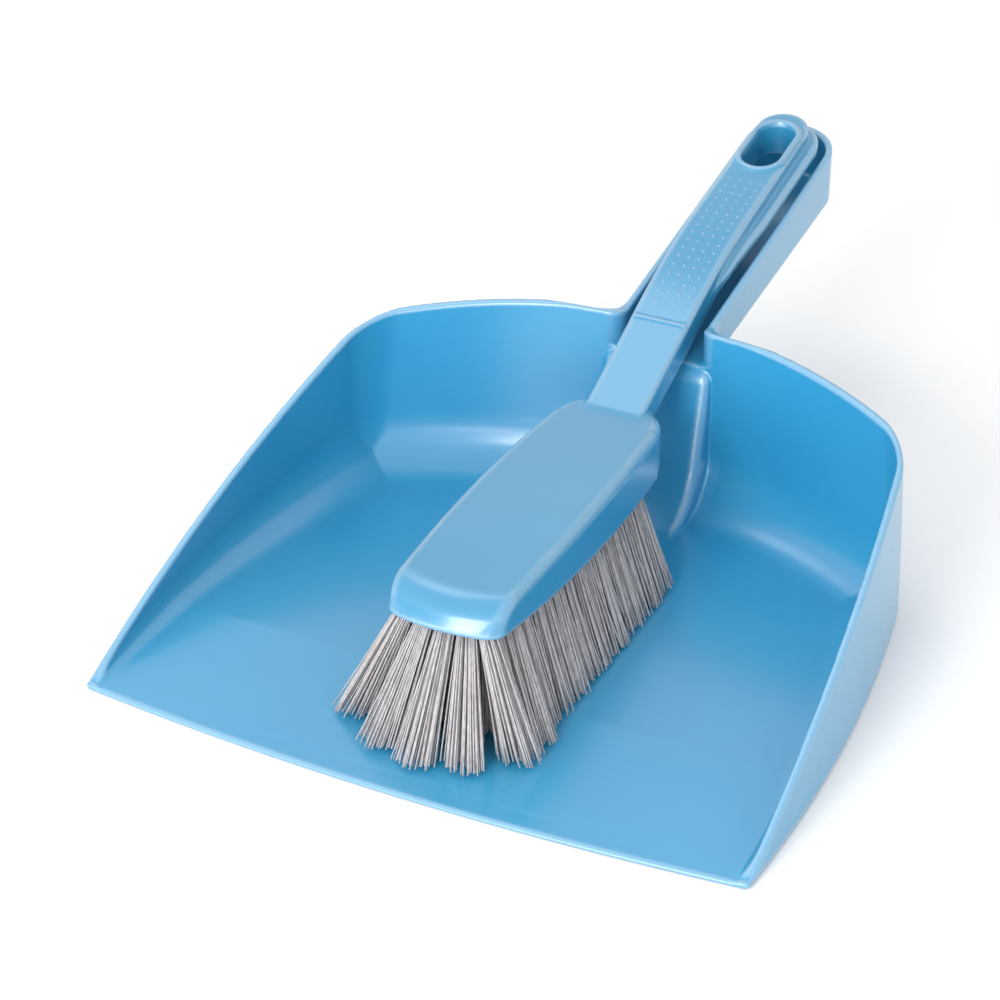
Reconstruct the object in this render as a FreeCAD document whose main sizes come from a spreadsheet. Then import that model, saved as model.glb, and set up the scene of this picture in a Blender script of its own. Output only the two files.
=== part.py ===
import FreeCAD, Part
import math
import os
import re
import Sketcher

# A dust pan with a hand brush lying in it.
#
# Lengths are in millimetres.  +X runs across the mouth of the pan, +Y from its lip to the end of
# its handle and +Z up.  Every sketch is drawn in pan coordinates, in which the lip lies at y = 0
# and the table at z = 0.  Each finished piece is then moved back by half the overall length, so
# that the origin of the set is the middle of its footprint.
#
# Pieces: the pan is one thin moulding, with a trough-shaped handle.  The brush is one moulding
# (block, neck and grip), tufts of filament, and the flat wire staples that hold each tuft in the
# bottom of its socket.

Vector = FreeCAD.Vector
UP = Vector(0, 0, 1)

doc = FreeCAD.newDocument("dust_pan_and_brush")

# ---------------------------------------------------------------- driving dimensions
DIMENSIONS = [
    # the pan
    ("handle_reach", 325.5),
    ("lip_bow", 6.5),
    ("wall", 2.6),
    ("floor_thickness", 1.8),
    ("lip_thickness", 1.2),
    ("base_width", 233.6),
    ("base_side_radius", 560.0),
    ("base_side_reach", 42.0),
    ("base_corner_radius", 20.0),
    ("top_height", 80.0),
    ("top_width", 212.4),
    ("top_side_radius", 570.0),
    ("top_side_reach", 85.0),
    ("top_corner_radius", 34.0),
    ("back_radius", 185.0),
    ("back_reach", 196.3),
    ("base_rounding", 2.0),
    ("fillet_at_mouth", 3.0),
    ("fillet_at_back", 20.0),
    ("rim_radius", 1700.0),
    ("rim_bow_reach", 191.0),
    ("rim_bow_height", 68.1),
    ("crease_reach", 51.5),
    ("crease_height", 4.0),
    ("ramp_reach", 150.0),
    ("relief_start", 15.5),
    # its handle
    ("handle_width", 34.8),
    ("handle_start", 199.0),
    ("handle_start_height", 66.5),
    ("handle_end_height", 88.9),
    ("trough_back_height", 54.6),
    ("trough_end_height", 70.6),
    ("trough_flare", 5.0),
    ("handle_root_fillet", 9.0),
    # the bulge that runs from the trough down to the pan's floor
    ("bulge_width", 40.0),
    ("bulge_shoulder", 4.0),
    ("bulge_top_drop", 6.0),
    ("bulge_foot_reach", 166.0),
    ("bulge_foot_length", 15.0),
    ("bulge_foot_height", 13.0),
    ("bulge_radius", 20.0),
    ("bulge_edge", 3.0),
    # the block of the brush
    ("nose_reach", 24.5),
    ("nose_height", 42.2),
    ("nose_width", 39.0),
    ("nose_radius", 8.0),
    ("block_end", 164.0),
    ("block_shoulder", 148.0),
    ("block_width", 38.0),
    ("block_side_radius", 848.0),
    ("block_heel_height", 34.0),
    ("block_sole_radius", 913.0),
    ("block_top_height", 52.4),
    ("block_crown_radius", 1500.0),
    ("crown_setback", 13.0),
    ("nose_top_setback", 5.5),
    ("nose_top_drop", 2.4),
    ("block_edge", 3.0),
    # its neck and grip
    ("neck_start", 152.0),
    ("neck_width", 21.4),
    ("neck_height", 52.0),
    ("grip_start", 192.0),
    ("grip_start_height", 69.0),
    ("grip_bend_reach", 246.0),
    ("grip_bend_height", 86.4),
    ("grip_bend_radius", 190.0),
    ("grip_end_height", 98.6),
    ("grip_end", 312.8),
    ("grip_width", 19.6),
    ("grip_depth", 12.0),
    ("flange_start", 200.0),
    ("flange_width", 27.6),
    ("flange_end", 316.6),
    ("flange_drop", 5.5),
    ("flange_depth", 4.5),
    ("hole_width", 13.6),
    ("hole_start", 276.0),
    ("hole_end", 304.0),
    # the tufts
    ("tuft_rows", 16),
    ("first_row", 31.0),
    ("row_pitch", 7.2),
    ("column_pitch", 7.2),
    ("socket_depth", 5.5),
    ("root_radius", 2.0),
    ("tip_radius", 3.4),
    ("tip_gap", 0.5),
    ("tip_spread", 15.0),
    ("nose_lean", 23.0),
    ("heel_lean", 9.0),
    ("lean_fade_rows", 1.6),
    ("corner_lean_loss", 0.35),
    ("staple_length", 5.2),
    ("staple_height", 1.8),
    ("staple_thickness", 0.5),
    ("staple_lift", 0.8),
]

sheet = doc.addObject("Spreadsheet::Sheet", "sizes")
for row, (alias, value) in enumerate(DIMENSIONS, start=1):
    sheet.set("A" + str(row), alias)
    sheet.set("B" + str(row), str(value))
    sheet.setAlias("B" + str(row), alias)
doc.recompute()

ALIASES = {alias for alias, value in DIMENSIONS}


def bound(text):
    """Turns 'mouth_width / 2' into an expression on the sheet's cells."""
    def cell(match):
        word = match.group(0)
        return "sizes." + word if word in ALIASES else word
    return re.sub(r"[a-z_]+", cell, text)


def size(text):
    """The number that an expression of cell names has now."""
    return float(sheet.evalExpression(bound(text)))


# ---------------------------------------------------------------- sketches and solids
PLAN = FreeCAD.Rotation()
SIDE = FreeCAD.Rotation(Vector(1, 1, 1), 120)  # sketch x along +Y, sketch y along +Z


def new_sketch(name, plane):
    sketch = doc.addObject("Sketcher::SketchObject", name)
    sketch.Placement = FreeCAD.Placement(Vector(), plane)
    return sketch


def pin(sketch, geometry, point, x_text, y_text):
    """Holds one point of a sketch at a place worked out from the sheet."""
    for kind, axis, text in (("DistanceX", -2, x_text), ("DistanceY", -1, y_text)):
        if text == "0":
            sketch.addConstraint(Sketcher.Constraint("PointOnObject", geometry, point, axis))
            continue
        index = sketch.addConstraint(
            Sketcher.Constraint(kind, -1, 1, geometry, point, size(text)))
        sketch.setExpression("Constraints[" + str(index) + "]", bound(text))


def pin_height(sketch, geometry, point, text):
    index = sketch.addConstraint(
        Sketcher.Constraint("DistanceY", -1, 1, geometry, point, size(text)))
    sketch.setExpression("Constraints[" + str(index) + "]", bound(text))


def set_radius(sketch, geometry, text):
    index = sketch.addConstraint(Sketcher.Constraint("Radius", geometry, size(text)))
    sketch.setExpression("Constraints[" + str(index) + "]", bound(text))


def arc_through(start, end, radius):
    """An arc from start to end, anticlockwise for a positive radius and clockwise otherwise."""
    middle = (start + end) * 0.5
    half = (end - start) * 0.5
    rise = math.sqrt(max(radius * radius - half.Length * half.Length, 0.0))
    left = Vector(-half.y, half.x, 0).normalize()
    centre = middle + left * (rise if radius > 0 else -rise)
    first, last = (start, end) if radius > 0 else (end, start)
    angle_first = math.atan2(first.y - centre.y, first.x - centre.x)
    angle_last = math.atan2(last.y - centre.y, last.x - centre.x)
    return Part.ArcOfCircle(Part.Circle(centre, UP, abs(radius)), angle_first, angle_last)


def draw_loop(name, plane, corners):
    """A closed outline.

    Each corner is (x, y) or (x, y, radius), as text on the sheet's names.  The radius makes the
    stretch from that corner to the next one an arc: positive turns left, '-' in front turns right.
    """
    sketch = new_sketch(name, plane)
    places = [Vector(size(corner[0]), size(corner[1]), 0) for corner in corners]
    ends = []
    for index, corner in enumerate(corners):
        start = places[index]
        end = places[(index + 1) % len(corners)]
        if len(corner) == 2:
            geometry = sketch.addGeometry(Part.LineSegment(start, end))
            ends.append((geometry, 1, 2))
            continue
        turns_right = corner[2].startswith("-")
        text = corner[2].lstrip("-")
        radius = -size(text) if turns_right else size(text)
        geometry = sketch.addGeometry(arc_through(start, end, radius))
        half_circle = abs((end - start).Length - 2 * abs(radius)) < 1e-6
        if half_circle and start.y == end.y:
            # its ends already fix the radius, so only its centre is held level with them
            pin_height(sketch, geometry, 3, corner[1])
        else:
            set_radius(sketch, geometry, text)
        ends.append((geometry, 2, 1) if turns_right else (geometry, 1, 2))
    for index, (geometry, first, last) in enumerate(ends):
        following, next_first, next_last = ends[(index + 1) % len(ends)]
        sketch.addConstraint(
            Sketcher.Constraint("Coincident", geometry, last, following, next_first))
        pin(sketch, geometry, first, corners[index][0], corners[index][1])
    return sketch


def mirrored(right_half):
    """Adds the left half of an outline whose right half runs from the front to the back."""
    left_half = []
    for index in range(len(right_half) - 1, -1, -1):
        corner = right_half[index]
        arc = right_half[index - 1][2:] if index > 0 else ()
        left_half.append(("-(" + corner[0] + ")", corner[1]) + tuple(arc))
    return right_half + left_half


def extruded(name, sketch, length_text, both_ways=False):
    solid = doc.addObject("Part::Extrusion", name)
    solid.Base = sketch
    solid.DirMode = "Normal"
    solid.setExpression("LengthFwd", bound(length_text))
    solid.Symmetric = both_ways
    solid.Solid = True
    return solid


def common(name, first, second):
    solid = doc.addObject("Part::Common", name)
    solid.Base = first
    solid.Tool = second
    return solid


def cut(name, base, tool):
    solid = doc.addObject("Part::Cut", name)
    solid.Base = base
    solid.Tool = tool
    return solid


def fused(name, pieces):
    solid = doc.addObject("Part::MultiFuse", name)
    solid.Shapes = pieces
    solid.Refine = True
    return solid


def rounded(name, base, radii_of):
    """Rounds the edges of base for which radii_of(edge) gives a pair of radii."""
    doc.recompute()
    chosen = []
    for index, edge in enumerate(base.Shape.Edges, start=1):
        radii = radii_of(edge)
        if radii:
            chosen.append((index,) + tuple(radii))
    solid = doc.addObject("Part::Fillet", name)
    solid.Base = base
    solid.Edges = chosen
    doc.recompute()
    return solid


# ---------------------------------------------------------------- the pan
CLEAR = 10.0  # how far a cutting solid stands out of what it cuts


def pan_outline(name, level, inset):
    """The pan seen from above at one level, "base" or "top", with its sides drawn in by inset.

    A bowed lip, two gently bowed sides and a bowed back, with round corners at the back.  The
    sides lean inwards: the outline is narrower at the top, and its sides bow further back.
    """
    sketch = new_sketch(name, PLAN)
    if level == "top":
        sketch.setExpression("Placement.Base.z", bound("top_height"))
    side_radius = level + "_side_radius - " + inset
    side_centre = level + "_width / 2 - " + level + "_side_radius"
    side_reach = level + "_side_reach"
    mouth_half = (side_centre + " + sqrt((" + side_radius + ") ^ 2 - " + side_reach + " ^ 2)")
    lip_radius = "((" + mouth_half + ") ^ 2 + lip_bow ^ 2) / (2 * lip_bow)"
    side_x, side_y, side_r = size(side_centre), size(side_reach), size(side_radius)
    back_y = size("back_reach - back_radius")
    back_r = size("back_radius - " + inset)
    corner_r = size(level + "_corner_radius - " + inset)
    # the corner's centre is as far from both big centres as the difference of the radii
    to_side = side_r - corner_r
    to_back = back_r - corner_r
    apart = math.hypot(side_x, back_y - side_y)
    along = (to_side ** 2 - to_back ** 2 + apart ** 2) / (2 * apart)
    across = math.sqrt(to_side ** 2 - along ** 2)
    ux, uy = -side_x / apart, (back_y - side_y) / apart
    corner = Vector(side_x + along * ux - across * uy, side_y + along * uy + across * ux, 0)
    side_start = -math.asin(side_y / side_r)
    side_end = math.atan2(corner.y - side_y, corner.x - side_x)
    back_angle = math.atan2(corner.y - back_y, corner.x)
    lip_r = size(lip_radius)
    lip_y = lip_r - size("lip_bow")
    lip_angle = math.asin(size(mouth_half) / lip_r)

    def arc(x, y, radius, start, end):
        circle = Part.Circle(Vector(x, y, 0), UP, radius)
        return sketch.addGeometry(Part.ArcOfCircle(circle, start, end))

    down = -math.pi / 2
    lip = arc(0, lip_y, lip_r, down - lip_angle, down + lip_angle)
    right = arc(side_x, side_y, side_r, side_start, side_end)
    right_corner = arc(corner.x, corner.y, corner_r, side_end, back_angle)
    back = arc(0, back_y, back_r, back_angle, math.pi - back_angle)
    left_corner = arc(-corner.x, corner.y, corner_r, math.pi - back_angle, math.pi - side_end)
    left = arc(-side_x, side_y, side_r, math.pi - side_end, math.pi - side_start)

    constrain = sketch.addConstraint
    constrain(Sketcher.Constraint("Coincident", left, 2, lip, 1))
    constrain(Sketcher.Constraint("Coincident", lip, 2, right, 1))
    for piece, following in ((right, right_corner), (right_corner, back), (back, left_corner),
                             (left_corner, left)):
        constrain(Sketcher.Constraint("Tangent", piece, 2, following, 1))
    constrain(Sketcher.Constraint("PointOnObject", right, 1, -1))
    constrain(Sketcher.Constraint("PointOnObject", left, 2, -1))
    pin(sketch, right, 3, side_centre, side_reach)
    pin(sketch, left, 3, "-(" + side_centre + ")", side_reach)
    pin(sketch, back, 3, "0", "back_reach - back_radius")
    set_radius(sketch, lip, lip_radius)
    set_radius(sketch, right, side_radius)
    set_radius(sketch, left, side_radius)
    set_radius(sketch, back, "back_radius - " + inset)
    set_radius(sketch, right_corner, level + "_corner_radius - " + inset)
    set_radius(sketch, left_corner, level + "_corner_radius - " + inset)
    return sketch


def pan_block(name, inset):
    """The solid between the pan's outlines at the base and at the top."""
    solid = doc.addObject("Part::Loft", name)
    solid.Sections = [pan_outline(name + "_base", "base", inset),
                      pan_outline(name + "_top", "top", inset)]
    solid.Solid = True
    solid.Ruled = True
    doc.recompute()
    return solid


SKY = "handle_reach / 2"             # well above everything
WIDE = "base_width + 40"             # wider than everything
BEYOND = "(handle_reach + 5)"        # past the end of the handle
HANDLE_ROOT = "(back_reach - 12)"    # inside the tub, where the handle's block starts
TROUGH_ROOT = "(back_reach - 25)"    # inside the tub, where the trough's hollow starts
HANDLE_CENTRE = "handle_reach - handle_width / 2"
HANDLE_SLOPE = "(handle_end_height - handle_start_height) / (handle_reach - handle_start)"
TROUGH_SLOPE = "(trough_end_height - trough_back_height) / (handle_reach - back_reach)"


def on_trough(reach):
    """Height of the trough's floor at a distance from the lip."""
    return "trough_back_height + " + TROUGH_SLOPE + " * (" + reach + " - back_reach)"


tub = pan_block("tub_block", "0")


def is_base_edge(edge):
    box = edge.BoundBox
    return box.ZMax < 0.01 and box.YMax > 1


base_radius = size("base_rounding")
tub_rounded = rounded(
    "tub_rounded", tub, lambda edge: (base_radius, base_radius) if is_base_edge(edge) else None)

handle_plan = draw_loop("handle_plan", PLAN, [
    ("handle_width / 2", HANDLE_ROOT),
    ("handle_width / 2", HANDLE_CENTRE, "handle_width / 2"),
    ("-handle_width / 2", HANDLE_CENTRE),
    ("-handle_width / 2", HANDLE_ROOT),
])
handle_side = draw_loop("handle_side", SIDE, [
    (TROUGH_ROOT, on_trough(TROUGH_ROOT) + " - wall"),
    (BEYOND, on_trough(BEYOND) + " - wall"),
    (BEYOND, SKY),
    (TROUGH_ROOT, SKY),
])
handle = common("handle_block", extruded("handle_prism", handle_plan, SKY),
                extruded("handle_band", handle_side, WIDE, both_ways=True))
blank = fused("pan_blank", [tub_rounded, handle])

root_radius = size("handle_root_fillet")
handle_half = size("handle_width / 2")
back_reach = size("back_reach")


def is_handle_root(edge):
    box = edge.BoundBox
    upright = box.ZLength > 20 and box.XLength < 1 and box.YLength < 1
    return upright and abs(abs(box.XMax) - handle_half) < 1 and abs(box.YMax - back_reach) < 5


blank_rounded = rounded(
    "pan_blank_rounded", blank,
    lambda edge: (root_radius, root_radius) if is_handle_root(edge) else None)

# the rim rises in one long bow from the lip to the back, dips a little where the handle starts,
# and climbs straight along the handle
above_rim = draw_loop("above_rim_side", SIDE, [
    (str(-CLEAR), "lip_thickness"),
    ("0", "lip_thickness", "-rim_radius"),
    ("rim_bow_reach", "rim_bow_height"),
    ("handle_start", "handle_start_height"),
    (BEYOND, "handle_start_height + " + HANDLE_SLOPE + " * (" + BEYOND + " - handle_start)"),
    (BEYOND, SKY + " + 5"),
    (str(-CLEAR), SKY + " + 5"),
])
trimmed = cut("pan_trimmed", blank_rounded,
              extruded("above_rim", above_rim, WIDE, both_ways=True))

# the hollow of the tub: its floor rounding grows from the mouth to the back corners
hollow = pan_block("tub_hollow", "wall")
hollow_front_radius = size("fillet_at_mouth")
hollow_back_radius = size("fillet_at_back")


def hollow_radii(edge):
    if not is_base_edge(edge):
        return None
    box = edge.BoundBox
    if box.YMin > 100:
        return hollow_back_radius, hollow_back_radius
    start = edge.Vertexes[0].Point
    end = edge.Vertexes[-1].Point
    if start.y < end.y:
        return hollow_front_radius, hollow_back_radius
    return hollow_back_radius, hollow_front_radius


hollow_rounded = rounded("tub_hollow_rounded", hollow, hollow_radii)
hollow_rounded.setExpression("Placement.Base.z", bound("floor_thickness"))
opened = cut("pan_opened", trimmed, hollow_rounded)

# the trough of the handle, open at the top and into the tub, with flared mouth edges
FLARE_START = "back_reach - 1.23 * wall"   # just inside the tub's back wall
trough_plan = draw_loop("trough_plan", PLAN, mirrored([
    ("handle_width / 2 - wall + trough_flare", TROUGH_ROOT),
    ("handle_width / 2 - wall + trough_flare", FLARE_START, "-trough_flare"),
    ("handle_width / 2 - wall", FLARE_START + " + trough_flare"),
    ("handle_width / 2 - wall", HANDLE_CENTRE, "handle_width / 2 - wall"),
]))
trough_side = draw_loop("trough_side", SIDE, [
    (HANDLE_ROOT + " - wall", on_trough("(" + HANDLE_ROOT + " - wall)")),
    (BEYOND, on_trough(BEYOND)),
    (BEYOND, SKY),
    (HANDLE_ROOT + " - wall", SKY),
])
trough = common("trough", extruded("trough_prism", trough_plan, SKY),
                extruded("trough_band", trough_side, WIDE, both_ways=True))
troughed = cut("pan_troughed", opened, trough)

# the bulge under the trough's mouth: a steep ramp with a foot that runs out on the floor
BULGE_TOP = "back_reach - wall - bulge_shoulder"
bulge_side = draw_loop("bulge_side", SIDE, [
    ("back_reach - 1", "floor_thickness / 2"),
    ("back_reach - 1", on_trough("(back_reach - 1)")),
    (BULGE_TOP + " + 2", on_trough("(" + BULGE_TOP + " + 2)")),
    (BULGE_TOP, on_trough("(" + BULGE_TOP + ")") + " - bulge_top_drop"),
    ("bulge_foot_reach + bulge_foot_length", "floor_thickness + bulge_foot_height",
     "-bulge_radius"),
    ("bulge_foot_reach", "floor_thickness"),
    ("bulge_foot_reach", "floor_thickness / 2"),
])
bulge = extruded("bulge_ramp", bulge_side, "bulge_width", both_ways=True)
bulge_half = size("bulge_width / 2")
bulge_edge = size("bulge_edge")
foot_top = size("floor_thickness + bulge_foot_height")


def is_bulge_edge(edge):
    box = edge.BoundBox
    outermost = box.XLength < 0.01 and abs(abs(box.XMax) - bulge_half) < 0.01
    return outermost and box.YMax < size(BULGE_TOP) + 0.5 and box.ZMin > foot_top - 1


bulge_rounded = rounded(
    "bulge", bulge, lambda edge: (bulge_edge, bulge_edge) if is_bulge_edge(edge) else None)

# the long low ramp behind the lip: beyond its crease the floor falls back very gently
lip_side = draw_loop("lip_side", SIDE, [
    ("0", "lip_thickness / 2"),
    ("ramp_reach", "floor_thickness / 2"),
    ("ramp_reach", "floor_thickness"),
    ("crease_reach", "crease_height"),
    ("0", "lip_thickness"),
])
lip_ramp = common("lip_ramp", extruded("lip_prism", lip_side, WIDE, both_ways=True),
                  pan_block("lip_block", "wall / 2"))
pan_solid = fused("pan_solid", [troughed, bulge_rounded, lip_ramp])

# underneath, the ramp and the bulge are hollow, as a moulding of even thickness has to be
ramp_relief_side = draw_loop("ramp_relief_side", SIDE, [
    ("relief_start", "-1"),
    ("ramp_reach - 3", "-1"),
    ("ramp_reach - 3", "0.01"),
    ("crease_reach", "crease_height - floor_thickness"),
    ("relief_start", "0.01"),
])
ramp_relief = common(
    "ramp_relief", extruded("ramp_relief_prism", ramp_relief_side, WIDE, both_ways=True),
    pan_block("ramp_relief_block", "2 * wall"))
relieved = cut("pan_relieved", pan_solid, ramp_relief)

bulge_relief_side = draw_loop("bulge_relief_side", SIDE, [
    ("bulge_foot_reach + 12", "-1"),
    ("back_reach + 5", "-1"),
    ("back_reach + 5", "trough_back_height - 3 * wall"),
    (BULGE_TOP + " + wall", "trough_back_height - 3.6 * wall"),
    ("bulge_foot_reach + 18", "floor_thickness + 9", "-bulge_radius"),
])
bulge_relief = extruded("bulge_relief", bulge_relief_side, "bulge_width - 2 * wall",
                        both_ways=True)
dust_pan = cut("dust_pan", relieved, bulge_relief)

# ---------------------------------------------------------------- the brush moulding
block_plan = draw_loop("block_plan", PLAN, mirrored([
    ("nose_width / 2 - nose_radius", "nose_reach - 1"),
    ("nose_width / 2", "nose_reach - 1 + nose_radius", "block_side_radius"),
    ("block_width / 2", "block_shoulder", "block_end - block_shoulder"),
    ("neck_width / 2 - 3", "block_end"),
]))
block_side = draw_loop("block_side", SIDE, [
    ("nose_reach", "nose_height", "block_sole_radius"),
    ("block_shoulder", "block_heel_height"),
    ("block_end + 2", "block_heel_height + 4"),
    ("block_end + 2", "neck_height - 6"),
    ("neck_start", "neck_height", "block_crown_radius"),
    ("nose_reach + crown_setback", "block_top_height"),
    ("nose_reach + nose_top_setback", "block_top_height - nose_top_drop"),
])
block = common("block_blank", extruded("block_prism", block_plan, SKY),
               extruded("block_band", block_side, WIDE, both_ways=True))
block_edge = size("block_edge")
top_low = size("block_top_height - nose_top_drop") - 0.2


def is_top_edge(edge):
    box = edge.BoundBox
    along = box.YLength > 60 and abs(box.XMax) > 10 and abs(box.XMin) > 10
    return along and box.ZMin > top_low


block_rounded = rounded(
    "block", block, lambda edge: (block_edge, block_edge) if is_top_edge(edge) else None)

GRIP_SLOPE = "(grip_end_height - grip_bend_height) / (grip_end - grip_bend_reach)"


def on_grip(reach, drop):
    """Height of the grip's straight back part, lowered by drop."""
    return ("grip_bend_height + " + GRIP_SLOPE + " * (" + reach + " - grip_bend_reach) - "
            + drop)


grip_plan = draw_loop("grip_plan", PLAN, mirrored([
    ("neck_width / 2", "neck_start - 8"),
    ("neck_width / 2", "grip_start"),
    ("grip_width / 2", "grip_end - grip_width / 2", "grip_width / 2"),
]))
grip_side = draw_loop("grip_side", SIDE, [
    ("neck_start - 8", "block_heel_height + 5"),
    ("block_end", "block_heel_height + 6"),
    ("grip_start", "grip_start_height - grip_depth", "-grip_bend_radius"),
    ("grip_bend_reach", "grip_bend_height - grip_depth"),
    ("grip_end + 5", on_grip("(grip_end + 5)", "grip_depth")),
    ("grip_end + 5", on_grip("(grip_end + 5)", "0")),
    ("grip_bend_reach", "grip_bend_height", "grip_bend_radius"),
    ("grip_start", "grip_start_height"),
    ("neck_start", "neck_height"),
    ("neck_start - 8", "neck_height - 1"),
])
grip = common("grip_blank", extruded("grip_prism", grip_plan, SKY),
              extruded("grip_band", grip_side, WIDE, both_ways=True))

flange_plan = draw_loop("flange_plan", PLAN, mirrored([
    ("grip_width / 2 - 1", "flange_start"),
    ("flange_width / 2", "grip_bend_reach + 10"),
    ("flange_width / 2", "flange_end - flange_width / 2", "flange_width / 2"),
]))
flange_side = draw_loop("flange_side", SIDE, [
    ("flange_start - 8", "grip_start_height - flange_drop - flange_depth",
     "-grip_bend_radius"),
    ("grip_bend_reach", "grip_bend_height - flange_drop - flange_depth"),
    ("flange_end + 5", on_grip("(flange_end + 5)", "flange_drop - flange_depth")),
    ("flange_end + 5", on_grip("(flange_end + 5)", "flange_drop")),
    ("grip_bend_reach", "grip_bend_height - flange_drop", "grip_bend_radius"),
    ("flange_start - 8", "grip_start_height - flange_drop"),
])
flange = common("flange", extruded("flange_prism", flange_plan, SKY),
                extruded("flange_band", flange_side, WIDE, both_ways=True))
brush_blank = fused("brush_blank", [block_rounded, grip, flange])

hole_plan = draw_loop("hole_plan", PLAN, [
    ("hole_width / 2", "hole_start + hole_width / 2"),
    ("hole_width / 2", "hole_end - hole_width / 2", "hole_width / 2"),
    ("-hole_width / 2", "hole_end - hole_width / 2"),
    ("-hole_width / 2", "hole_start + hole_width / 2", "hole_width / 2"),
])
holed = cut("brush_holed", brush_blank, extruded("hang_hole", hole_plan, SKY))

# ---------------------------------------------------------------- tufts and staples
first_row = size("first_row")
row_pitch = size("row_pitch")
row_count = int(size("tuft_rows"))
column_pitch = size("column_pitch")
crease_reach = size("crease_reach")
ramp_reach = size("ramp_reach")


def sole_height(reach):
    """Height of the block's sole, which bows downwards along one long arc."""
    radius = size("block_sole_radius")
    start = Vector(size("nose_reach"), size("nose_height"), 0)
    end = Vector(size("block_shoulder"), size("block_heel_height"), 0)
    half = (end - start) * 0.5
    left = Vector(-half.y, half.x, 0).normalize()
    centre = (start + end) * 0.5 + left * math.sqrt(radius ** 2 - half.Length ** 2)
    return centre.y - math.sqrt(radius ** 2 - (reach - centre.x) ** 2)


def pan_floor_height(reach):
    """Height of the pan's floor: up the lip ramp, down behind its crease, then level."""
    if reach < crease_reach:
        rise = size("crease_height - lip_thickness")
        return size("lip_thickness") + rise * reach / crease_reach
    fall = size("crease_height - floor_thickness")
    back = (reach - crease_reach) / (ramp_reach - crease_reach)
    return size("crease_height") - fall * min(back, 1.0)


def tuft_axis(x, outermost, row):
    """Root and tip of a tuft: it fans out to the sides, and forward most at the nose."""
    reach = first_row + row * row_pitch
    mouth = Vector(x, reach, sole_height(reach))
    fade = math.exp(-row / size("lean_fade_rows"))
    lean = size("heel_lean") + (size("nose_lean") - size("heel_lean")) * fade
    sideways = x / outermost
    forward = lean * (1.0 - size("corner_lean_loss") * fade * sideways ** 2)
    tip = Vector(x + size("tip_spread") * sideways, reach - forward, 0)
    tip_radius = size("tip_radius")
    highest = max(pan_floor_height(tip.y + step) for step in (-tip_radius, 0, tip_radius))
    tip.z = highest + size("tip_gap")
    drop = (tip - mouth).normalize()
    tip.z += tip_radius * math.hypot(drop.x, drop.y)
    drop = (tip - mouth).normalize()
    root = mouth - drop * size("socket_depth")
    return root, tip


def tuft_cone(name, root, tip):
    cone = doc.addObject("Part::Cone", name)
    cone.setExpression("Radius1", bound("root_radius"))
    cone.setExpression("Radius2", bound("tip_radius"))
    cone.Height = (tip - root).Length
    cone.Placement = FreeCAD.Placement(root, FreeCAD.Rotation(UP, tip - root))
    return cone


def staple_bar(name, root, tip):
    """A flat wire across the tuft, close to the bottom of its socket."""
    bar = doc.addObject("Part::Box", name)
    bar.setExpression("Length", bound("staple_length"))
    bar.setExpression("Width", bound("staple_thickness"))
    bar.setExpression("Height", bound("staple_height"))
    turn = FreeCAD.Rotation(UP, tip - root)
    corner = Vector(-size("staple_length / 2"), -size("staple_thickness / 2"),
                    size("staple_lift"))
    bar.Placement = FreeCAD.Placement(root + turn.multVec(corner), turn)
    return bar


def group(name, pieces):
    compound = doc.addObject("Part::Compound", name)
    compound.Links = pieces
    return compound


tuft_rows = []
staple_rows = []
cone_rows = []
bar_rows = []
for row in range(row_count):
    number = str(row + 1).zfill(2)
    in_row = 5 if row % 2 == 0 else 4
    cones = []
    bars = []
    for column in range(in_row):
        x = (column - (in_row - 1) / 2) * column_pitch
        root, tip = tuft_axis(x, (in_row - 1) / 2 * column_pitch, row)
        mark = number + "_" + str(column + 1)
        cones.append(tuft_cone("cone_" + mark, root, tip))
        bars.append(staple_bar("bar_" + mark, root, tip))
    cone_rows.append(group("cones_" + number, cones))
    bar_rows.append(group("bars_" + number, bars))
    staple_rows.append(group("staple_row_" + number, bars))
    tuft_rows.append(cut("tuft_row_" + number, cone_rows[-1], bar_rows[-1]))

# each staple is driven into the bottom of its socket, so both are cut out of the block
brush_body = cut("brush_body", holed, group("sockets", cone_rows + bar_rows))
doc.recompute()

# ---------------------------------------------------------------- placing, checking, writing
PIECES = [dust_pan, brush_body] + tuft_rows + staple_rows
for piece in PIECES:
    piece.setExpression("Placement.Base.y", bound("(lip_bow - handle_reach) / 2"))
doc.recompute()

for thing in doc.Objects:
    if "Invalid" in thing.State or "Error" in thing.State:
        raise RuntimeError(thing.Label + " did not compute: " + str(thing.State))

SINGLE = {dust_pan.Name, brush_body.Name}
os.makedirs("parts", exist_ok=True)
for piece in PIECES:
    shape = piece.Shape
    if shape.isNull() or not shape.isValid() or not shape.Solids:
        raise RuntimeError(piece.Label + " is not a valid solid")
    if piece.Name in SINGLE and len(shape.Solids) != 1:
        raise RuntimeError(piece.Label + " has fallen into " + str(len(shape.Solids)) + " solids")
    box = shape.BoundBox
    print(piece.Label, len(shape.Solids), "solid(s)", round(shape.Volume / 1000, 2), "cm3",
          [round(value, 1) for value in (box.XMin, box.XMax, box.YMin, box.YMax, box.ZMin,
                                         box.ZMax)])
    shape.exportStep("parts/" + piece.Label + ".step")
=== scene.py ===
# %% title
import math
import random

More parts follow.
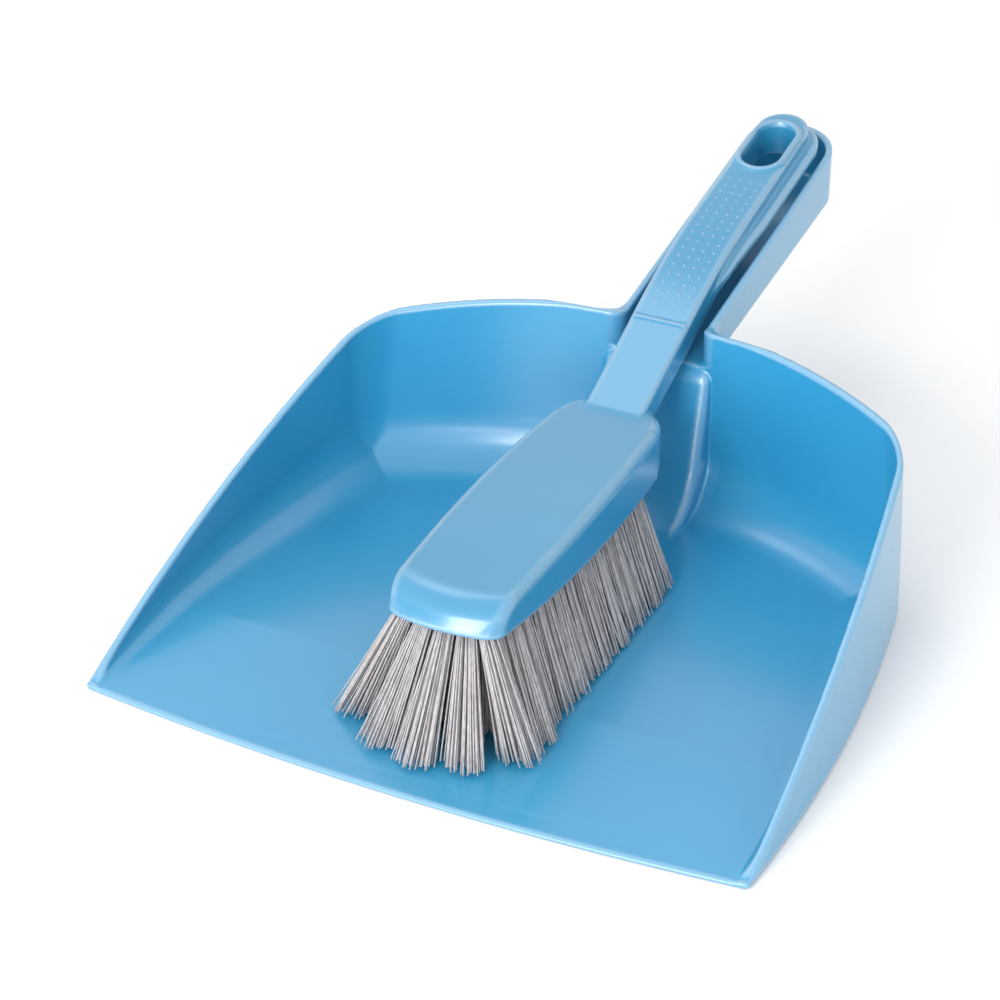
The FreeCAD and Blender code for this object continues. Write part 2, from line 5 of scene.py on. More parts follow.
import bpy
import numpy as np
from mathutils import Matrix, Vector


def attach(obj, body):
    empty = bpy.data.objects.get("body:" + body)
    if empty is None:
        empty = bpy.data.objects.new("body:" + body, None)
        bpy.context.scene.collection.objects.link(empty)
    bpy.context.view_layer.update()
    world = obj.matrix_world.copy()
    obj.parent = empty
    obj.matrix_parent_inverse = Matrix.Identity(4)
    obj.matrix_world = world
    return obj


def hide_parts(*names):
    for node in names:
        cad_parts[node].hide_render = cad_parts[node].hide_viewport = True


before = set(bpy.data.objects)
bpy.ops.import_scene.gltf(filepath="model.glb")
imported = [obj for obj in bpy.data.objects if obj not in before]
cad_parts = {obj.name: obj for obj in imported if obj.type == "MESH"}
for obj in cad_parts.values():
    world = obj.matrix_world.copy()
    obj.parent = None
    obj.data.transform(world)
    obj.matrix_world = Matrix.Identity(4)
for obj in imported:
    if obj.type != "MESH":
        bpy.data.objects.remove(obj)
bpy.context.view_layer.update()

# %% [markdown]
# # A dust pan with its hand brush
#
# The pan is one thin moulding in light blue polypropylene.  The brush is a second moulding with
# tufts of grey filament stapled into its sole, and it lies in the pan with its grip in the
# handle's trough.
#
# All lengths below are in millimetres.  They are measured from the corners of the pan's mouth
# backwards (y), from the middle line outwards (x) and from the table upwards (z).  `place` turns
# such a point into the frame's metres.

# %% units
MM = 0.001
MOUTH_Y = -159.5 * MM


def place(x, y, z):
    return (x * MM, MOUTH_Y + y * MM, z * MM)


# %% [markdown]
# ## Distance functions
#
# Moulded plastic has no sharp edges: wherever two faces meet, the mould has a small radius.  A
# good way to get that is to describe each shape by a distance function, which is negative
# inside the plastic, zero on its skin and positive in the air.  Two shapes are joined with the
# smaller of their distances and trimmed with the larger one.  The two helpers below do that and
# leave a radius `r` along the edge where the faces meet.

# %% joining and trimming with a radius
def trim(a, b, r):
    """What lies inside both a and b, with its outer edge rounded."""
    corner = np.hypot(np.maximum(a + r, 0), np.maximum(b + r, 0))
    return np.minimum(np.maximum(a, b), -r) + corner


def join(a, b, r):
    """What lies inside a or b, with a fillet where they meet."""
    corner = np.hypot(np.maximum(r - a, 0), np.maximum(r - b, 0))
    return np.maximum(np.minimum(a, b), r) - corner


def carve(a, b, r):
    """a without b, with the rim of the cut rounded."""
    return trim(a, -b, r)


# %% [markdown]
# ## Wrapping a mesh round a distance function
#
# Space is cut into small boxes.  Every box that the skin passes through gets one vertex, at the
# middle of the places where the skin crosses the box's edges, and neighbouring boxes are joined
# by four-sided faces.  The vertices are then slid along the slope of the distance function until
# they lie exactly on the skin, so flat faces stay flat and the long curves stay smooth.

# %% the wrapping
CORNERS = [(i, j, k) for i in (0, 1) for j in (0, 1) for k in (0, 1)]
EDGES = [(a, b) for a in range(8) for b in range(a + 1, 8)
         if sum(abs(p - q) for p, q in zip(CORNERS[a], CORNERS[b])) == 1]


def slide_to_skin(points, distance, reach):
    """Moves points onto the skin, by at most reach in each of three steps."""
    step = 0.02
    for _ in range(3):
        value = distance(*points.T)
        slope = np.empty_like(points)
        for axis in range(3):
            shift = np.zeros(3)
            shift[axis] = step
            ahead = distance(*(points + shift).T)
            behind = distance(*(points - shift).T)
            slope[:, axis] = (ahead - behind) / (2 * step)
        square = np.maximum((slope ** 2).sum(axis=1), 0.25)
        move = -slope * (value / square)[:, None]
        length = np.linalg.norm(move, axis=1)
        points = points + move * np.minimum(1, reach / np.maximum(length, 1e-9))[:, None]
    return points


def wrap(distance, low, high, step):
    """Vertices and four-sided faces round the shape that distance describes."""
    axes = [np.arange(a, b + s, s) for a, b, s in zip(low, high, step)]
    shape = [len(axis) for axis in axes]
    grid = distance(axes[0][:, None, None], axes[1][None, :, None], axes[2][None, None, :])
    grid = np.broadcast_to(grid, shape).astype(np.float32)
    inside = grid < 0
    cells = [n - 1 for n in shape]
    count = np.zeros(cells, np.int8)
    for corner in CORNERS:
        count += inside[tuple(slice(c, c + n) for c, n in zip(corner, cells))]
    active = np.argwhere((count > 0) & (count < 8))
    values = np.stack([grid[tuple((active + corner).T)] for corner in CORNERS], axis=1)
    total = np.zeros((len(active), 3))
    hits = np.zeros(len(active))
    for a, b in EDGES:
        crossed = (values[:, a] < 0) != (values[:, b] < 0)
        gap = np.where(crossed, values[:, a] - values[:, b], 1)
        along = np.where(crossed, values[:, a] / gap, 0)[:, None]
        spot = np.array(CORNERS[a]) * (1 - along) + np.array(CORNERS[b]) * along
        total += spot * crossed[:, None]
        hits += crossed
    points = (active + total / hits[:, None]) * np.array(step) + np.array(low)
    points = slide_to_skin(points, distance, 0.7 * min(step))

    number = np.full(cells, -1, np.int32)
    number[tuple(active.T)] = np.arange(len(active))
    faces = []
    for axis in range(3):
        u, v = (axis + 1) % 3, (axis + 2) % 3
        here = [slice(1, n) for n in cells]
        here[axis] = slice(0, cells[axis])
        there = list(here)
        there[axis] = slice(1, cells[axis] + 1)
        first, second = inside[tuple(here)], inside[tuple(there)]
        for leaving in (True, False):
            edge = np.argwhere((first != second) & (first == leaving))
            cell = edge + 1
            cell[:, axis] = edge[:, axis]
            ring = []
            for du, dv in ((1, 1), (0, 1), (0, 0), (1, 0)):
                corner = cell.copy()
                corner[:, u] -= du
                corner[:, v] -= dv
                ring.append(number[tuple(corner.T)])
            quads = np.stack(ring, axis=1)
            faces.append(quads if leaving else quads[:, ::-1])
    return points, np.concatenate(faces)


def make_piece(name, points, faces, material, body, nodes):
    """A smooth-shaded mesh that rides on a body and stands for some nodes of the model."""
    metres = points * MM
    metres[:, 1] += MOUTH_Y
    mesh = bpy.data.meshes.new(name)
    mesh.from_pydata(metres.tolist(), [], faces.tolist())
    mesh.validate()
    mesh.polygons.foreach_set("use_smooth", [True] * len(mesh.polygons))
    mesh.materials.append(material)
    piece = bpy.data.objects.new(name, mesh)
    bpy.context.scene.collection.objects.link(piece)
    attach(piece, body)
    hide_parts(*nodes)
    print(name, len(mesh.vertices), "vertices", len(mesh.polygons), "faces")
    return piece


# %% [markdown]
# ## Light blue polypropylene
#
# Both mouldings are polypropylene coloured right through.  The mould is polished, so the skin is
# glossy, but the plastic shrinks as it cools and leaves very low ripples that soften every
# reflection.  Handling has left fine scuffs, which roughen the skin in streaks.  Sharp edges get
# a
# painted highlight: their colour is mixed towards a paler blue.

# %% plastic
def plastic(name, deep, pale, gloss, scuff):
    material = bpy.data.materials.new(name)
    material.use_nodes = True
    nodes, links = material.node_tree.nodes, material.node_tree.links
    shader = nodes["Principled BSDF"]

    def noise(scale, detail, stretch=(1, 1, 1)):
        mapping = nodes.new("ShaderNodeMapping")
        mapping.inputs["Scale"].default_value = stretch
        links.new(coords.outputs["Object"], mapping.inputs["Vector"])
        texture = nodes.new("ShaderNodeTexNoise")
        texture.inputs["Scale"].default_value = scale
        texture.inputs["Detail"].default_value = detail
        links.new(mapping.outputs["Vector"], texture.inputs["Vector"])
        return texture.outputs["Fac"]

    def spread(value, low, high, to_low, to_high):
        step = nodes.new("ShaderNodeMapRange")
        for socket, number in zip(("From Min", "From Max", "To Min", "To Max"),
                                  (low, high, to_low, to_high)):
            step.inputs[socket].default_value = number
        links.new(value, step.inputs["Value"])
        return step.outputs["Result"]

    def mix(factor, a, b):
        blend = nodes.new("ShaderNodeMix")
        blend.data_type = "RGBA"
        links.new(factor, blend.inputs["Factor"])
        for socket, colour in ((blend.inputs[6], a), (blend.inputs[7], b)):
            if isinstance(colour, tuple):
                socket.default_value = (*colour, 1)
            else:
                links.new(colour, socket)
        return blend.outputs[2]

    coords = nodes.new("ShaderNodeTexCoord")
    cloud = noise(14, 3)
    speck = noise(900, 2)
    colour = mix(spread(cloud, 0.3, 0.7, 0, 1), deep, pale)
    # painted highlight: the colour turns paler along sharp convex edges, such as the rims
    geometry = nodes.new("ShaderNodeNewGeometry")
    edge = spread(geometry.outputs["Pointiness"], 0.502, 0.518, 0, 0.55)
    painted_edge_highlight = tuple(0.72 * c + 0.22 for c in pale)
    colour = mix(edge, colour, painted_edge_highlight)
    links.new(colour, shader.inputs["Base Color"])

    scratch = noise(60, 6, (1, 14, 14))
    rough = nodes.new("ShaderNodeMath")
    rough.operation = "ADD"
    links.new(spread(cloud, 0.3, 0.7, gloss - 0.03, gloss + 0.03), rough.inputs[0])
    links.new(spread(scratch, 0.55, 0.75, 0, scuff), rough.inputs[1])
    links.new(rough.outputs["Value"], shader.inputs["Roughness"])

    height = nodes.new("ShaderNodeMath")
    height.operation = "ADD"
    links.new(spread(noise(55, 2), 0, 1, 0, 1), height.inputs[0])
    links.new(spread(speck, 0, 1, 0, 0.06), height.inputs[1])
    bump = nodes.new("ShaderNodeBump")
    bump.inputs["Strength"].default_value = 0.25
    bump.inputs["Distance"].default_value = 0.00025
    links.new(height.outputs["Value"], bump.inputs["Height"])
    links.new(bump.outputs["Normal"], shader.inputs["Normal"])
    shader.inputs["IOR"].default_value = 1.55
    shader.inputs["Coat Weight"].default_value = 1.0
    shader.inputs["Coat Roughness"].default_value = 0.2
    shader.inputs["Coat IOR"].default_value = 1.6
    return material


pan_plastic = plastic("pan_plastic", (0.020, 0.275, 0.51), (0.028, 0.30, 0.535), 0.40, 0.12)
brush_plastic = plastic("brush_plastic", (0.022, 0.235, 0.43), (0.030, 0.26, 0.46), 0.36, 0.10)
print("two blues mixed:", pan_plastic.name, "and", brush_plastic.name)

# %% [markdown]
# ## The tub of the pan
#
# Seen from above, the pan has two gently bowed sides, a bowed back and a lip that bows forward.
# The sides lean in a little towards the top.  The wall is `WALL` thick everywhere and the floor
# somewhat less.

# %% outline of the tub
WALL = 2.6
FLOOR = 1.8
LIP = 1.2
BACK_RADIUS = 185.0
BACK_REACH = 196.3
LIP_BOW = 6.5
MOUTH_HALF = 115.2
LIP_RADIUS = (MOUTH_HALF ** 2 + LIP_BOW ** 2) / (2 * LIP_BOW)


def outline(x, y, z):
    """Distance to the tub's outer wall, seen from above at height z."""
    up = z / 80.0
    half = 116.8 - 10.6 * up
    bow = 560.0 + 10.0 * up
    widest = 42.0 + 43.0 * up
    side = np.hypot(x - (half - bow), y - widest) - bow
    back = np.hypot(x, y - (BACK_REACH - BACK_RADIUS)) - BACK_RADIUS
    return trim(side, back, 7.5 + 4.5 * np.clip(up, 0, 1))


def lip_front(x, y):
    return np.hypot(x, y - (LIP_RADIUS - LIP_BOW)) - LIP_RADIUS


print("the lip bows forward by", LIP_BOW, "mm on a radius of", round(LIP_RADIUS), "mm")

# %% [markdown]
# Its rim climbs in one long bow from the lip to the back, dips a little where the handle starts
# and runs straight up the handle.  The floor rises from the lip to a crease and falls gently
# behind it, so that dirt doesn't roll out.

# %% heights along the pan
RIM_BACK = 69.6
RIM_BOW = 13.4            # four times the rise of the bow above a straight rim
RIM_BOW_REACH = 191.0
HANDLE_START = 199.0
HANDLE_START_HEIGHT = 66.5
DIP_SLOPE = 0.2
HANDLE_SLOPE = 0.1774
CORNER_HEIGHT = LIP + 0.8
CREASE = 4.0
CREASE_REACH = 51.5
RAMP_LENGTH = 98.5        # from the crease back to the level floor
TROUGH_FLOOR = 54.6
TROUGH_SLOPE = 0.1238


def rim_height(y):
    share = np.clip(y / BACK_REACH, 0, 1)
    bowed = LIP + (RIM_BACK - LIP) * share + RIM_BOW * share * (1 - share)
    dip = HANDLE_START_HEIGHT + DIP_SLOPE * (HANDLE_START - y)
    handle = HANDLE_START_HEIGHT + HANDLE_SLOPE * (y - HANDLE_START)
    rim = np.where(y < RIM_BOW_REACH, bowed, np.maximum(dip, handle))
    return np.maximum(rim, CORNER_HEIGHT)


def floor_height(y):
    climb = LIP + (CREASE - LIP) * (y + LIP_BOW) / (CREASE_REACH + LIP_BOW)
    fall = CREASE - (CREASE - FLOOR) * (y - CREASE_REACH) / RAMP_LENGTH
    return np.where(y < CREASE_REACH, climb, np.maximum(fall, FLOOR))


def trough_floor(y):
    """Height of the floor of the handle's trough."""
    return TROUGH_FLOOR + TROUGH_SLOPE * (y - BACK_REACH)


for reach in (0, 50, 100, 150, 196):
    print("at", reach, "mm the rim is", round(float(rim_height(reach)), 1), "mm high")

# %% [markdown]
# ## The whole pan
#
# The handle is an open trough: a round-ended channel that joins the back wall with a generous
# radius.  Under the trough's mouth a bulge runs down to the floor.  It is hollow from behind, so
# the plastic stays about equally thick, which is what keeps a moulding from sinking as it cools.

# %% the pan's distance function
HANDLE_HALF = 17.4
HANDLE_CENTRE = 308.1
ROOT_FILLET = 9.0
BULGE_HALF = 20.0
BULGE_REACH = 177.2
BULGE_LEAN = 0.26
BULGE_SWEEP = 17.0
POCKET_REACH = 180.0
POCKET_HEIGHT = 47.4


def pan_distance(x, y, z):
    x = np.abs(x)
    outer = outline(x, y, z)
    channel = np.hypot(x, np.maximum(y - HANDLE_CENTRE, 0))
    below_rim = 0.95 * (z - rim_height(y))
    under_trough = trough_floor(y) - WALL - z

    tub = trim(outer, -z, 2.0)
    handle = trim(join(outer, channel - HANDLE_HALF, ROOT_FILLET), under_trough, 1.2)
    blank = np.minimum(tub, handle)
    blank = trim(blank, below_rim, 0.9)
    blank = trim(blank, lip_front(x, y), 0.5)

    inner = outer + WALL
    fillet = 3.0 + 17.0 * np.clip(y / 150.0, 0, 1)
    tray = trim(inner, floor_height(y) - z, fillet)
    trough_plan = join(inner, channel - (HANDLE_HALF - WALL), 5.0)
    trough = trim(trough_plan, trough_floor(y) - z, 1.6)
    hollow = np.minimum(tray, trough)
    shell = carve(blank, hollow, 0.8)

    # the ramp of the bulge meets the floor in a wide sweep, its sides meet it sharply
    ramp = 0.968 * (BULGE_REACH + BULGE_LEAN * z - y)
    sweep = join(z - FLOOR, ramp, BULGE_SWEEP)
    bulge = trim(sweep, x - BULGE_HALF, 3.0)
    bulge = trim(bulge, z - trough_floor(y), 5.0)
    bulge = np.maximum(np.maximum(bulge, -z), np.maximum(outer + 0.5, 150.0 - y))
    solid = join(shell, bulge, 0.8)

    # underneath, the ramp and the bulge are hollow
    relief = np.maximum(outer + 2 * WALL, np.maximum(z - (floor_height(y) - FLOOR), 15.0 - y))
    behind_ramp = 0.968 * (POCKET_REACH + BULGE_LEAN * z - y)
    pocket = np.maximum(x - (BULGE_HALF - WALL), behind_ramp)
    pocket = np.maximum(pocket, z - POCKET_HEIGHT)
    pocket = np.maximum(pocket, 178.0 - y)
    solid = carve(solid, relief, 0.3)
    return carve(solid, pocket, 0.5)


# %% [markdown]
# The lip is only a millimetre thick, so its edge would look ragged if it ran across the grid at a
# slant.  The pan is therefore wrapped with a straight lip that follows a line of the grid, and
# the bow is put back into the points afterwards.

# %% wrap the pan
BOW_FADE = 60.0


def lip_shift(x, y):
    """How far forward the lip's bow carries a point of the straight-lipped pan."""
    bow = LIP_RADIUS - LIP_BOW - np.sqrt(LIP_RADIUS ** 2 - x ** 2)
    return bow * np.clip(1 - y / BOW_FADE, 0, 1)


def straight_pan(x, y, z):
    return pan_distance(x, y + lip_shift(x, y), z)


coarse = 1.0
points, faces = wrap(straight_pan, (-120.3, -2.5, -1.5), (120.3, 328.0, 93.0),
                     (coarse, coarse, 0.6 * coarse))
points[:, 1] += lip_shift(points[:, 0], points[:, 1])
make_piece("pan", points, faces, pan_plastic, "pan", ["dust_pan"])

# %% [markdown]
# ## The brush moulding
#
# The block is bowed along its sides and its sole, with a blunt sloping nose.  A narrower neck
# climbs out of it and becomes the grip, which has a thin flange along both sides and a hanging
# slot with a raised bead round it near its end.

# %% heights along the brush
def grip_top(y):
    """Height of the grip's top: a straight neck, a bend, and a straight grip."""
    t = y - 192.0
    bend = 69.0 + 0.46 * t - 0.00256 * t ** 2
    return np.where(t < 0, 69.0 + 0.425 * t, np.where(t < 54, bend, 86.4 + 0.1826 * (t - 54)))


def sole_height(y):
    share = (y - 24.5) / 123.5
    bowed = 42.2 - 8.2 * share - 8.3 * share * (1 - share)
    return np.where(share < 1, bowed, 34.0 + 0.22 * (y - 148.0))


print("the grip is", round(float(grip_top(300.0)), 1), "mm up at its slot")


# %% [markdown]
# The block is trimmed first by its plan, then by its nose and crown, and last by its sole, each
# with a smaller radius, as the edges of the real one get crisper downwards.  The grip is a narrow
# band under `grip_top`, and the flange is a wider band that starts a little lower.

# %% the brush's distance function
SLOT_HALF = 6.8
BLOCK_HALF = 20.2
BLOCK_SHOULDER = 148.0
NOSE_REACH = 21.8


def brush_distance(x, y, z):
    x = np.abs(x)
    # the block
    bowed = BLOCK_HALF - 0.0043 * (y - 31.5) + (y - 31.5) * (BLOCK_SHOULDER - y) / 1696.0
    heel = np.hypot(np.maximum(x - 3, 0), y - BLOCK_SHOULDER) - 16.0
    side = np.where(y < BLOCK_SHOULDER, x - bowed, heel)
    front = NOSE_REACH + x ** 2 / 100.0
    plan = trim(side, front - y, 6.0)
    nose = 0.82 * (front + 1.0 - y) + 0.57 * (z - 42.2)
    crown = 52.4 + (y - 37.5) * (152.0 - y) / 3000.0
    lid = trim(trim(z - crown, nose, 5.0), plan, 3.2)
    block = trim(lid, sole_height(y) - z, 1.2)

    # neck, grip and flange
    above = 0.95 * (z - grip_top(y))
    beyond = np.maximum(y - 303.0, 0)
    half = np.interp(y, [192.0, 303.0], [10.7, 9.8])
    column = np.hypot(x, beyond) - half
    depth = np.interp(y, [144.0, 192.0], [9.0, 11.4])
    grip = trim(column, trim(above, -above - depth, 0.8), 1.6)
    grip = np.maximum(grip, 146.0 - y)
    wing = np.interp(y, [204.0, 226.0, 256.0], [8.8, 12.0, 13.8])
    wing_plan = np.hypot(x, np.maximum(y - 302.6, 0)) - wing
    flange = trim(wing_plan, trim(above + 5.2, -above - 9.5, 1.3), 1.3)
    flange = np.maximum(flange, 196.0 - y)
    body = join(grip, flange, 1.0)
    body = join(body, block, 1.2)

    # a bead across the start of the grip, and another round the hanging slot
    line = np.hypot(y - 192.0, above + 0.2) - 0.7
    line = np.maximum(line, x - 9.6)
    body = join(body, line, 0.5)
    slot = np.hypot(x, y - np.clip(y, 282.8, 297.2)) - SLOT_HALF
    bead = np.hypot(slot - 1.3, above - 0.1) - 1.15
    body = join(body, bead, 0.7)
    return carve(body, np.maximum(slot, 60.0 - z), 0.9)


# %% [markdown]
# The brush has finer edges than the pan, so it is wrapped on a finer grid.

# %% wrap the brush
fine = 0.65
points, faces = wrap(brush_distance, (-22.8, 21.8, 29.8), (22.8, 318.2, 101.5),
                     (fine, fine, fine))
make_piece("brush_moulding", points, faces, brush_plastic, "brush",
           ["brush_body"])

# %% [markdown]
# ## Grip dots
#
# Rows of small raised dots keep a wet hand from slipping.  The mould has them as drilled
# dimples, so each one is a shallow dome, and they get lower towards the hanging slot where the
# mould was polished.

# %% dots
DOT_ROWS = 17
FIRST_DOTS = 199.8
DOT_ROW_PITCH = 4.2
DOT_COLUMN_PITCH = 3.9
DOT_RADIUS = 0.62


def dome(centre, normal, radius, height, vertices, faces):
    """Adds a shallow dome of three rings to the lists."""
    side = normal.orthogonal().normalized()
    other = normal.cross(side)
    first = len(vertices)
    around = 12
    for ring in range(3):
        tilt = ring * math.pi / 6
        for turn in range(around):
            angle = 2 * math.pi * turn / around
            out = side * math.cos(angle) + other * math.sin(angle)
            spot = centre + out * radius * math.cos(tilt) + normal * height * math.sin(tilt)
            vertices.append(spot)
    vertices.append(centre + normal * height)
    for ring in range(2):
        for turn in range(around):
            after = (turn + 1) % around
            low, high = first + ring * around, first + (ring + 1) * around
            faces.append((low + turn, low + after, high + after, high + turn))
    top = first + 2 * around
    for turn in range(around):
        faces.append((top + turn, top + (turn + 1) % around, first + 3 * around))


dot_vertices, dot_faces = [], []
for row in range(DOT_ROWS):
    y = FIRST_DOTS + DOT_ROW_PITCH * row
    rise = float(grip_top(y + 0.1) - grip_top(y - 0.1)) / 0.2
    normal = Vector((0, -rise, 1)).normalized()
    for column in range(4):
        x = (column - 1.5) * DOT_COLUMN_PITCH + 0.3
        height = 0.50 - 0.02 * row - 0.06 * (3 - column)
        centre = Vector((x, y, float(grip_top(y)) - 0.05))
        dome(centre, normal, DOT_RADIUS, max(height, 0.16), dot_vertices, dot_faces)
mesh = bpy.data.meshes.new("grip_dots")
mesh.from_pydata([place(*spot) for spot in dot_vertices], [], dot_faces)
mesh.polygons.foreach_set("use_smooth", [True] * len(mesh.polygons))
mesh.materials.append(brush_plastic)
dots = bpy.data.objects.new("grip_dots", mesh)
bpy.context.scene.collection.objects.link(dots)
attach(dots, "brush")
print(len(dot_faces) // 36, "dots")

# %% [markdown]
# ## Filament
#
# The tufts are straight synthetic filament about half a millimetre thick.  Each bundle is folded
# over a flat wire staple, driven into its hole and cut to length, so the ends are a little uneven
# and splay out where they touch the floor of the pan.

# %% filament material
def filament_material():
    material = bpy.data.materials.new("filament")
    material.use_nodes = True
    nodes, links = material.node_tree.nodes, material.node_tree.links
    shader = nodes["Principled BSDF"]
    coords = nodes.new("ShaderNodeTexCoord")
    mapping = nodes.new("ShaderNodeMapping")
    mapping.inputs["Scale"].default_value = (900, 900, 60)
    texture = nodes.new("ShaderNodeTexNoise")
    texture.inputs["Scale"].default_value = 1
    texture.inputs["Detail"].default_value = 2
    ramp = nodes.new("ShaderNodeValToRGB")
    ramp.color_ramp.elements[0].position = 0.3
    ramp.color_ramp.elements[0].color = (0.36, 0.34, 0.345, 1)
    ramp.color_ramp.elements[1].position = 0.7
    ramp.color_ramp.elements[1].color = (0.54, 0.52, 0.53, 1)
    links.new(coords.outputs["Object"], mapping.inputs["Vector"])
    links.new(mapping.outputs["Vector"], texture.inputs["Vector"])
    links.new(texture.outputs["Fac"], ramp.inputs["Fac"])
    links.new(ramp.outputs["Color"], shader.inputs["Base Color"])
    shader.inputs["Roughness"].default_value = 0.45
    bump = nodes.new("ShaderNodeBump")
    bump.inputs["Strength"].default_value = 0.3
    bump.inputs["Distance"].default_value = 0.0001
    links.new(texture.outputs["Fac"], bump.inputs["Height"])
    links.new(bump.outputs["Normal"], shader.inputs["Normal"])
    return material


filament = filament_material()

# %% [markdown]
# The tufts stand in sixteen rows of five and four by turns.  They fan out to the sides, and the
# first rows reach forward under the nose.

# %% where each tuft starts and ends
ROWS = 16
PITCH = 7.2
FIRST_ROW = 31.0
FADE_ROWS = 1.6           # the forward lean dies away over this many rows
HEEL_LEAN = 9.0
NOSE_LEAN = 14.0          # on top of the lean that every tuft has
SIDE_LEAN = 15.0
CORNER_LOSS = 0.65        # the outermost tufts of the first rows lean less far forward
TIP_HEIGHT = 0.9


def tuft(outward, count, row):
    """Mouth of the hole in the sole, and the middle of the tuft's cut end.

    outward runs from -1 at the left end of a row of count tufts to 1 at its right end.
    """
    # a row of four stands almost as wide as a row of five
    half_row = (1.6 + 0.08 * count) * PITCH
    x = outward * half_row
    y = FIRST_ROW + PITCH * row
    mouth = Vector((x, y, float(sole_height(y))))
    fade = math.exp(-row / FADE_ROWS)
    forward = (HEEL_LEAN + NOSE_LEAN * fade) * (1.0 - CORNER_LOSS * fade * outward ** 2)
    tip = Vector((x + SIDE_LEAN * outward, y - forward, 0))
    tip.z = float(floor_height(tip.y)) + TIP_HEIGHT
    return mouth, tip


mouth, tip = tuft(0, 5, 0)
print("the middle tuft under the nose leans", round(mouth.y - tip.y, 1), "mm forward")

# %% [markdown]
# Every filament is a thin five-sided rod with a soft bend: it leaves the hole in line with the
# others and drifts away from them towards its end.  The first rows fan out sideways.  The others
# spread more along the block, so that seen from the side they close into one curtain.

# %% one piece of filaments for each row
PER_TUFT = 94
SPANS = 5
SIDES = 5
FILAMENT_RADIUS = 0.25
ROOT_SPREAD = 2.8
ROOT_DEPTH = 3.0
FRONT_SPREAD = (7.2, 4.4)     # sideways and along the block
SIDE_SPREAD = (4.6, 6.8)


def add_filament(start, end, bend, vertices, faces):
    direction = (end - start).normalized()
    side = direction.orthogonal().normalized()
    other = direction.cross(side)
    first = len(vertices)
    for span in range(SPANS + 1):
        t = span / SPANS
        middle = start.lerp(end, t) + bend * (t * (1 - t) * 4)
        for turn in range(SIDES):
            angle = 2 * math.pi * turn / SIDES
            out = side * math.cos(angle) + other * math.sin(angle)
            vertices.append(middle + out * FILAMENT_RADIUS)
    for span in range(SPANS):
        for turn in range(SIDES):
            after = (turn + 1) % SIDES
            low = first + span * SIDES
            faces.append((low + turn, low + after, low + SIDES + after, low + SIDES + turn))
    last = first + SPANS * SIDES
    faces.append(tuple(last + turn for turn in range(SIDES)))
    faces.append(tuple(first + turn for turn in reversed(range(SIDES))))


def in_disc(random_source, radius):
    """An even spread over a disc."""
    angle = random_source.uniform(0, 2 * math.pi)
    reach = radius * math.sqrt(random_source.random())
    return reach * math.cos(angle), reach * math.sin(angle)


for row in range(ROWS):
    source = random.Random(100 + row)
    count = 5 if row % 2 == 0 else 4
    wide, deep = FRONT_SPREAD if row < 3 else SIDE_SPREAD
    vertices, faces = [], []
    for column in range(count):
        mouth, tip = tuft(2 * column / (count - 1) - 1, count, row)
        along = (tip - mouth).normalized()
        for _ in range(PER_TUFT):
            u, v = in_disc(source, 1.0)
            splay = source.gauss(1.0, 0.12)
            start = mouth - along * ROOT_DEPTH + Vector((u, v, 0)) * ROOT_SPREAD
            end = tip + Vector((u * wide, v * deep, 0)) * splay
            end += along * source.uniform(-1.6, 0.1)
            low_limit = float(floor_height(end.y)) + 0.45
            if end.z < low_limit:
                end = start.lerp(end, (start.z - low_limit) / (start.z - end.z))
            bend = Vector((u, v, 0)) * source.uniform(-0.5, 0.2)
            bend += Vector((source.gauss(0, 0.18), source.gauss(0, 0.18), 0))
            add_filament(start, end, bend, vertices, faces)
    number = str(row + 1).zfill(2)
    mesh = bpy.data.meshes.new("bristles_row_" + number)
    mesh.from_pydata([place(*spot) for spot in vertices], [], faces)
    mesh.polygons.foreach_set("use_smooth", [len(f) == 4 for f in faces])
    mesh.materials.append(filament)
    bristles = bpy.data.objects.new("bristles_row_" + number, mesh)
    bpy.context.scene.collection.objects.link(bristles)
    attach(bristles, "brush")
    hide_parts("tuft_row_" + number)
print(72 * PER_TUFT, "filaments")

# %% [markdown]
# ## Staple wire
#
# The staples are flat galvanised wire, hidden at the bottom of the holes.

# %% staple wire
wire = bpy.data.materials.new("staple_wire")
wire.use_nodes = True
wire_nodes, wire_links = wire.node_tree.nodes, wire.node_tree.links
wire_shader = wire_nodes["Principled BSDF"]
wire_shader.inputs["Metallic"].default_value = 1.0
wire_noise = wire_nodes.new("ShaderNodeTexNoise")
wire_noise.inputs["Scale"].default_value = 2500
wire_ramp = wire_nodes.new("ShaderNodeValToRGB")
wire_ramp.color_ramp.elements[0].color = (0.42, 0.42, 0.41, 1)
wire_ramp.color_ramp.elements[1].color = (0.66, 0.66, 0.64, 1)
wire_links.new(wire_noise.outputs["Fac"], wire_ramp.inputs["Fac"])
wire_links.new(wire_ramp.outputs["Color"], wire_shader.inputs["Base Color"])
wire_shader.inputs["Roughness"].default_value = 0.35
for row in range(ROWS):
    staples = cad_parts["staple_row_" + str(row + 1).zfill(2)]
    staples.data.materials.clear()
    staples.data.materials.append(wire)
print("staples finished in", wire.name)

# %% [markdown]
# ## Studio
#
# A pale floor, an even white surround and large soft lamps give the broad, milky reflections that
# polished plastic shows in a studio.

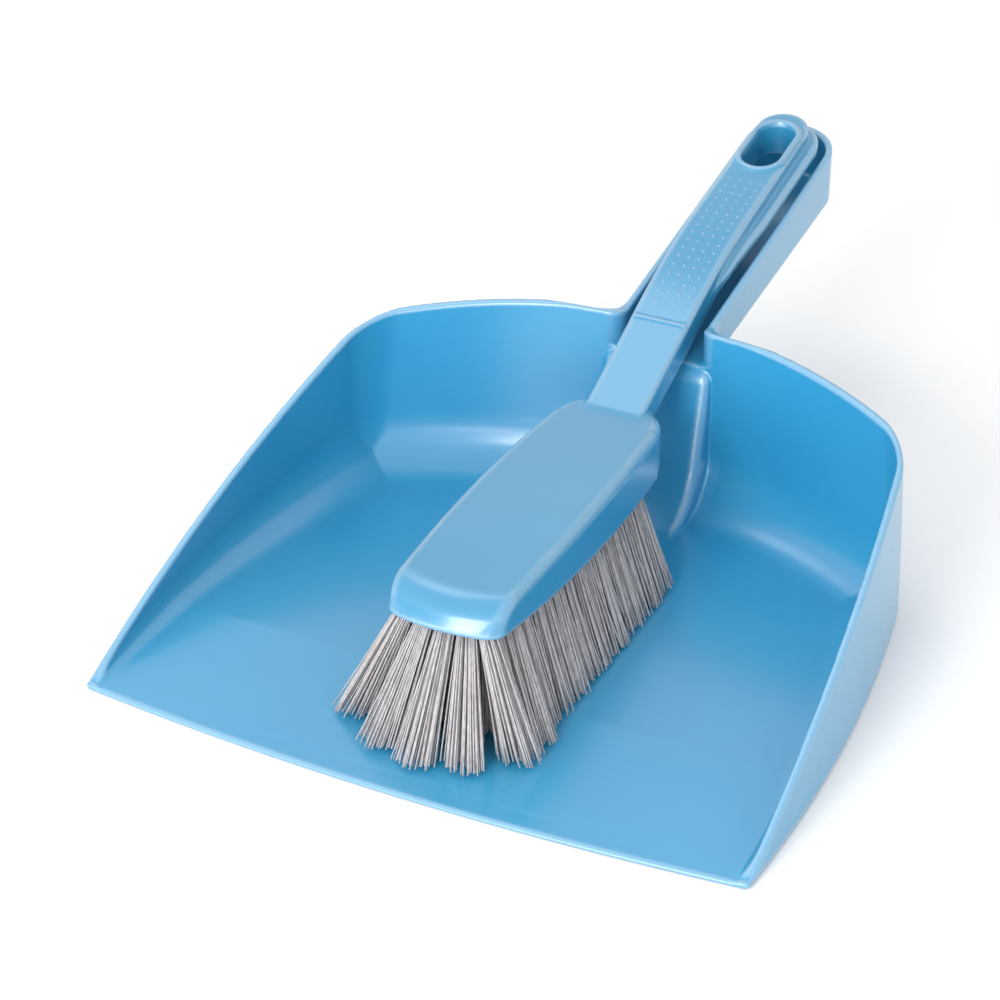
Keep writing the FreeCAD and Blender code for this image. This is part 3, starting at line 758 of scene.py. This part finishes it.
# %% floor and light
FAR = 6.0
floor_mesh = bpy.data.meshes.new("floor")
floor_mesh.from_pydata([(-FAR, -FAR, 0), (FAR, -FAR, 0), (FAR, FAR, 0), (-FAR, FAR, 0)], [],
                       [(0, 1, 2, 3)])
floor = bpy.data.objects.new("floor", floor_mesh)
floor.location.z = -0.0002
bpy.context.scene.collection.objects.link(floor)
paper = bpy.data.materials.new("paper")
paper.use_nodes = True
paper_shader = paper.node_tree.nodes["Principled BSDF"]
paper_shader.inputs["Base Color"].default_value = (0.9, 0.9, 0.9, 1)
paper_shader.inputs["Roughness"].default_value = 0.9
floor_mesh.materials.append(paper)

world = bpy.data.worlds.new("surround")
bpy.context.scene.world = world
world.use_nodes = True
surround = world.node_tree.nodes["Background"]
surround.inputs["Color"].default_value = (1, 1, 1, 1)
surround.inputs["Strength"].default_value = 1.0


def softbox(name, spot, aim, width, height, power):
    lamp = bpy.data.lights.new(name, "AREA")
    lamp.shape = "RECTANGLE"
    lamp.size = width
    lamp.size_y = height
    lamp.energy = power
    box = bpy.data.objects.new(name, lamp)
    bpy.context.scene.collection.objects.link(box)
    box.location = spot
    box.rotation_euler = (Vector(spot) - Vector(aim)).to_track_quat("Z", "Y").to_euler()


softbox("overhead", (-0.5, 0.2, 1.2), (0, 0, 0.05), 0.45, 0.45, 1.2)
softbox("window", (-0.1, -1.3, 0.66), (0, -0.1, 0.05), 0.5, 0.5, 9)
softbox("low_front", (-0.1, -1.7, 0.24), (0, 0, 0.05), 2.4, 0.5, 13)
print("three softboxes")

# %% [markdown]
# The camera looks down on the mouth of the pan from the front right, with a long lens.

# %% camera
azimuth = math.radians(26.31)
elevation = math.radians(31.68)
distance = 0.9938
target = Vector(place(-32.25, 133.37, 20.0))
back = Vector((math.sin(azimuth) * math.cos(elevation),
               -math.cos(azimuth) * math.cos(elevation), math.sin(elevation)))
lens = bpy.data.cameras.new("camera")
lens.lens = 104.4
lens.sensor_width = 36
camera = bpy.data.objects.new("camera", lens)
bpy.context.scene.collection.objects.link(camera)
camera.location = target + back * distance
camera.rotation_euler = back.to_track_quat("Z", "Y").to_euler()
bpy.context.scene.camera = camera
bpy.context.scene.view_settings.view_transform = "Standard"

# %% [markdown]
# Last, the scene is brought up to date.

# %% last update
bpy.context.view_layer.update()
